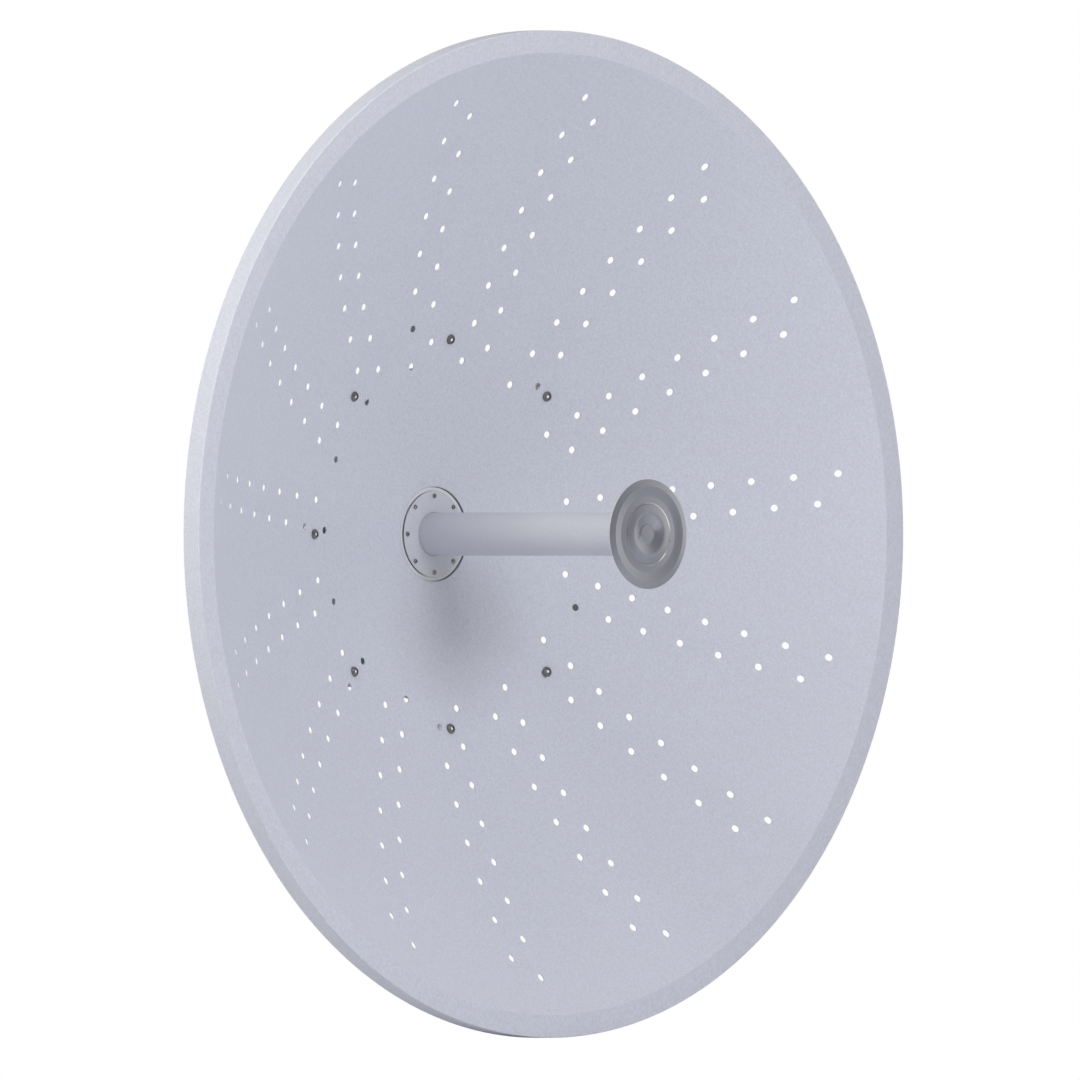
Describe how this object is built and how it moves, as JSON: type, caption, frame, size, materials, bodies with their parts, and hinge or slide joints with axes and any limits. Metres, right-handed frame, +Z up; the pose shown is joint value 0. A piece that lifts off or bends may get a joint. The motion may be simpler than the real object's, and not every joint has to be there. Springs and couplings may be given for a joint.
{
  "type": "parabolic dish antenna",
  "caption": "Round pressed dish with rows of small holes, and a tube feed on its axis that ends in a small round sub-reflector. Bolts to a mast bracket by its flat rear flange.",
  "frame": {"origin": "centre of the mounting flange's flat rear face, on the dish axis", "axes": "+Z up, the dish looks along -Y, +X is to the right when looking into the dish along +Y"},
  "size_m": [1.05, 0.382, 1.05],
  "materials": {
    "reflector_paint": "pale lavender-grey powder coat, fine grain, satin",
    "feed_paint": "pale grey smooth paint, satin",
    "turned_metal": "turned bare aluminium, dull grey, fine rings",
    "fastener_steel": "plain steel, dark grey",
    "plug_rubber": "dark grey, matt",
    "rear_paint": "pale grey paint, satin"
  },
  "bodies": {
    "root": {"reflector": "reflector_paint", "hole_plug_1": "plug_rubber", "hole_plug_2": "plug_rubber", "reflector_screw_1": "fastener_steel", "reflector_screw_2": "fastener_steel", "reflector_screw_3": "fastener_steel", "reflector_screw_4": "fastener_steel", "reflector_screw_5": "fastener_steel", "reflector_screw_6": "fastener_steel", "reflector_screw_7": "fastener_steel", "reflector_screw_8": "fastener_steel", "spacer_1": "rear_paint", "spacer_2": "rear_paint", "spacer_3": "rear_paint", "spacer_4": "rear_paint", "spacer_5": "rear_paint", "spacer_6": "rear_paint", "spacer_7": "rear_paint", "spacer_8": "rear_paint", "nut_1": "fastener_steel", "nut_2": "fastener_steel", "nut_3": "fastener_steel", "nut_4": "fastener_steel", "nut_5": "fastener_steel", "nut_6": "fastener_steel", "nut_7": "fastener_steel", "nut_8": "fastener_steel", "back_plate": "rear_paint", "feed_flange": "feed_paint", "feed_tube": "feed_paint", "flange_screw_1": "fastener_steel", "flange_screw_2": "fastener_steel", "flange_screw_3": "fastener_steel", "flange_screw_4": "fastener_steel", "flange_screw_5": "fastener_steel", "flange_screw_6": "fastener_steel", "flange_screw_7": "fastener_steel", "flange_screw_8": "fastener_steel", "sub_reflector": "turned_metal", "hub_collar": "rear_paint", "feed_block": "rear_paint", "coax_port_1": "turned_metal", "coax_port_2": "turned_metal", "mounting_flange": "rear_paint"}
  },
  "joints": []
}
